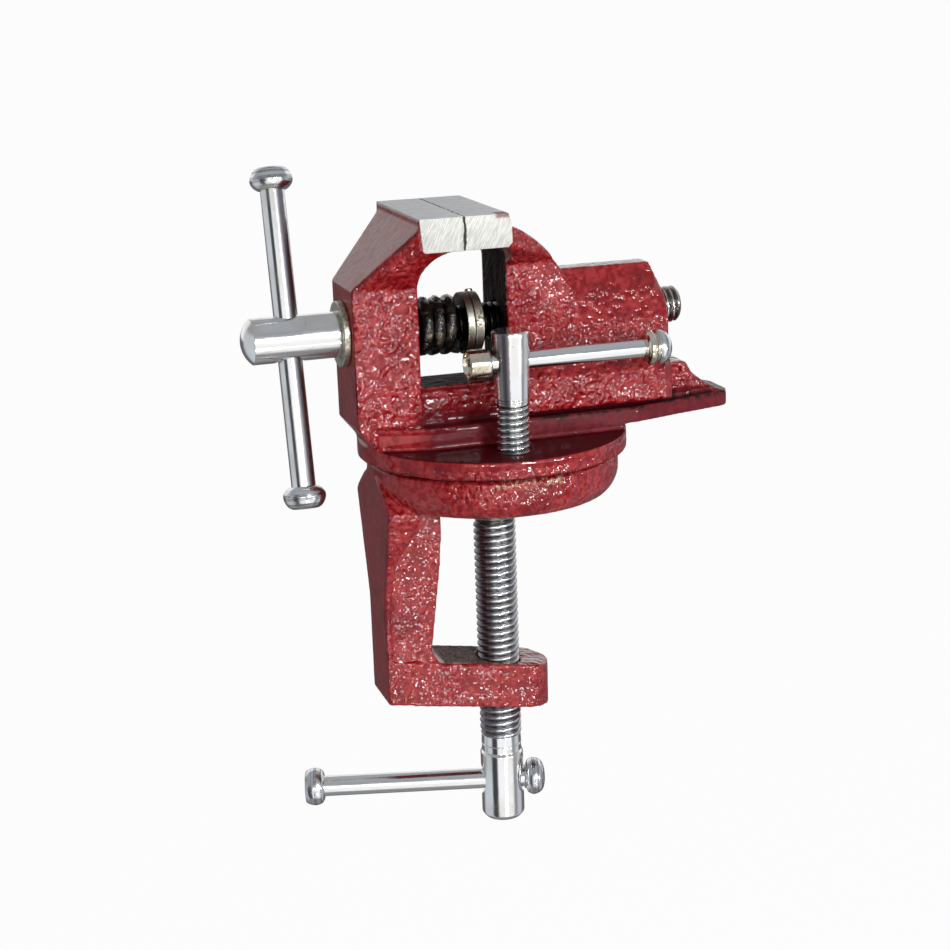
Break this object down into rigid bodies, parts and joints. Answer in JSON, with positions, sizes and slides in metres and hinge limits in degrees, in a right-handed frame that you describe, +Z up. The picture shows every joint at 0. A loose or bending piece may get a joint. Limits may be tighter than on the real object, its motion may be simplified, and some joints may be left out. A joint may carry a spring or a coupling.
{
  "type": "clamp-on swivel bench vise",
  "caption": "Small cast bench vise that clamps to a table edge, with a swivel base, a screw-driven sliding jaw, and sliding T-bar handles.",
  "frame": {"origin": "where the swivel axis meets the underside of the lower disc, the face that rests on the bench", "axes": "+Z up along the swivel axis; +X along the main screw, away from its handle, the way the moving jaw opens; +Y completes the right-handed frame"},
  "size_m": [0.127, 0.069, 0.1771],
  "materials": {
    "red_enamel": "glossy crimson hammered enamel over a casting",
    "screw_chrome": "bright plated steel with oily stains",
    "cap_steel": "bright plating with a pale gold tint",
    "bright_steel": "dull bright steel",
    "spring_steel": "black greasy spring steel"
  },
  "bodies": {
    "clamp_frame": {"clamp_frame": "red_enamel"},
    "upper": {"fixed_jaw_body": "red_enamel", "pivot_bolt": "bright_steel", "pivot_washer": "bright_steel", "return_spring": "spring_steel"},
    "main_screw": {"main_screw": "screw_chrome", "thrust_washer": "bright_steel", "spring_washer": "bright_steel", "screw_collar": "bright_steel", "collar_pin": "bright_steel"},
    "main_bar": {"main_bar": "screw_chrome", "main_bar_cap_upper": "screw_chrome", "main_bar_cap_lower": "screw_chrome"},
    "moving_jaw": {"moving_jaw_body": "red_enamel"},
    "lock_screw": {"lock_screw": "screw_chrome"},
    "lock_bar": {"lock_bar": "screw_chrome", "lock_bar_cap_left": "cap_steel", "lock_bar_cap_right": "cap_steel"},
    "clamp_pad": {"clamp_pad": "bright_steel"},
    "clamp_screw": {"clamp_screw": "screw_chrome"},
    "clamp_bar": {"clamp_bar": "screw_chrome", "clamp_bar_cap_right": "screw_chrome", "clamp_bar_cap_left": "screw_chrome"}
  },
  "joints": [
    {"name": "swivel", "type": "hinge", "parent": "clamp_frame", "child": "upper", "pos_m": [0, 0, 0], "axis": [0, 0, 1], "continuous": true},
    {"name": "main_screw_turn", "type": "hinge", "parent": "upper", "child": "main_screw", "pos_m": [-0.0514, 0, 0.0436], "axis": [1, 0, 0], "range_deg": [-6800, 0]},
    {"name": "jaw_slide", "type": "slide", "parent": "upper", "child": "moving_jaw", "axis": [1, 0, 0], "range_m": [0, 0.03]},
    {"name": "main_bar_slide", "type": "slide", "parent": "main_screw", "child": "main_bar", "axis": [0, 0.23, 0.9732], "range_m": [-0.0304, 0.0304]},
    {"name": "lock_turn", "type": "hinge", "parent": "upper", "child": "lock_screw", "pos_m": [-0.0015, -0.0225, 0.0375], "axis": [0, 0, 1], "range_deg": [-180, 8]},
    {"name": "lock_bar_slide", "type": "slide", "parent": "lock_screw", "child": "lock_bar", "axis": [1, 0, 0], "range_m": [-0.0298, 0.0009]},
    {"name": "clamp_pad_slide", "type": "slide", "parent": "clamp_frame", "child": "clamp_pad", "axis": [0, 0, 1], "range_m": [-0.036, 0.001]},
    {"name": "clamp_screw_turn", "type": "hinge", "parent": "clamp_pad", "child": "clamp_screw", "pos_m": [0, 0, -0.05], "axis": [0, 0, 1], "range_deg": [-7120, 190]},
    {"name": "clamp_bar_slide", "type": "slide", "parent": "clamp_screw", "child": "clamp_bar", "axis": [0.9668, -0.2554, 0], "range_m": [0, 0.0419]}
  ],
  "couplings": [
    {"joint": "jaw_slide", "follows": "main_screw_turn", "m_per_rad": -0.00025266},
    {"joint": "clamp_pad_slide", "follows": "clamp_screw_turn", "m_per_rad": 0.00028875}
  ]
}
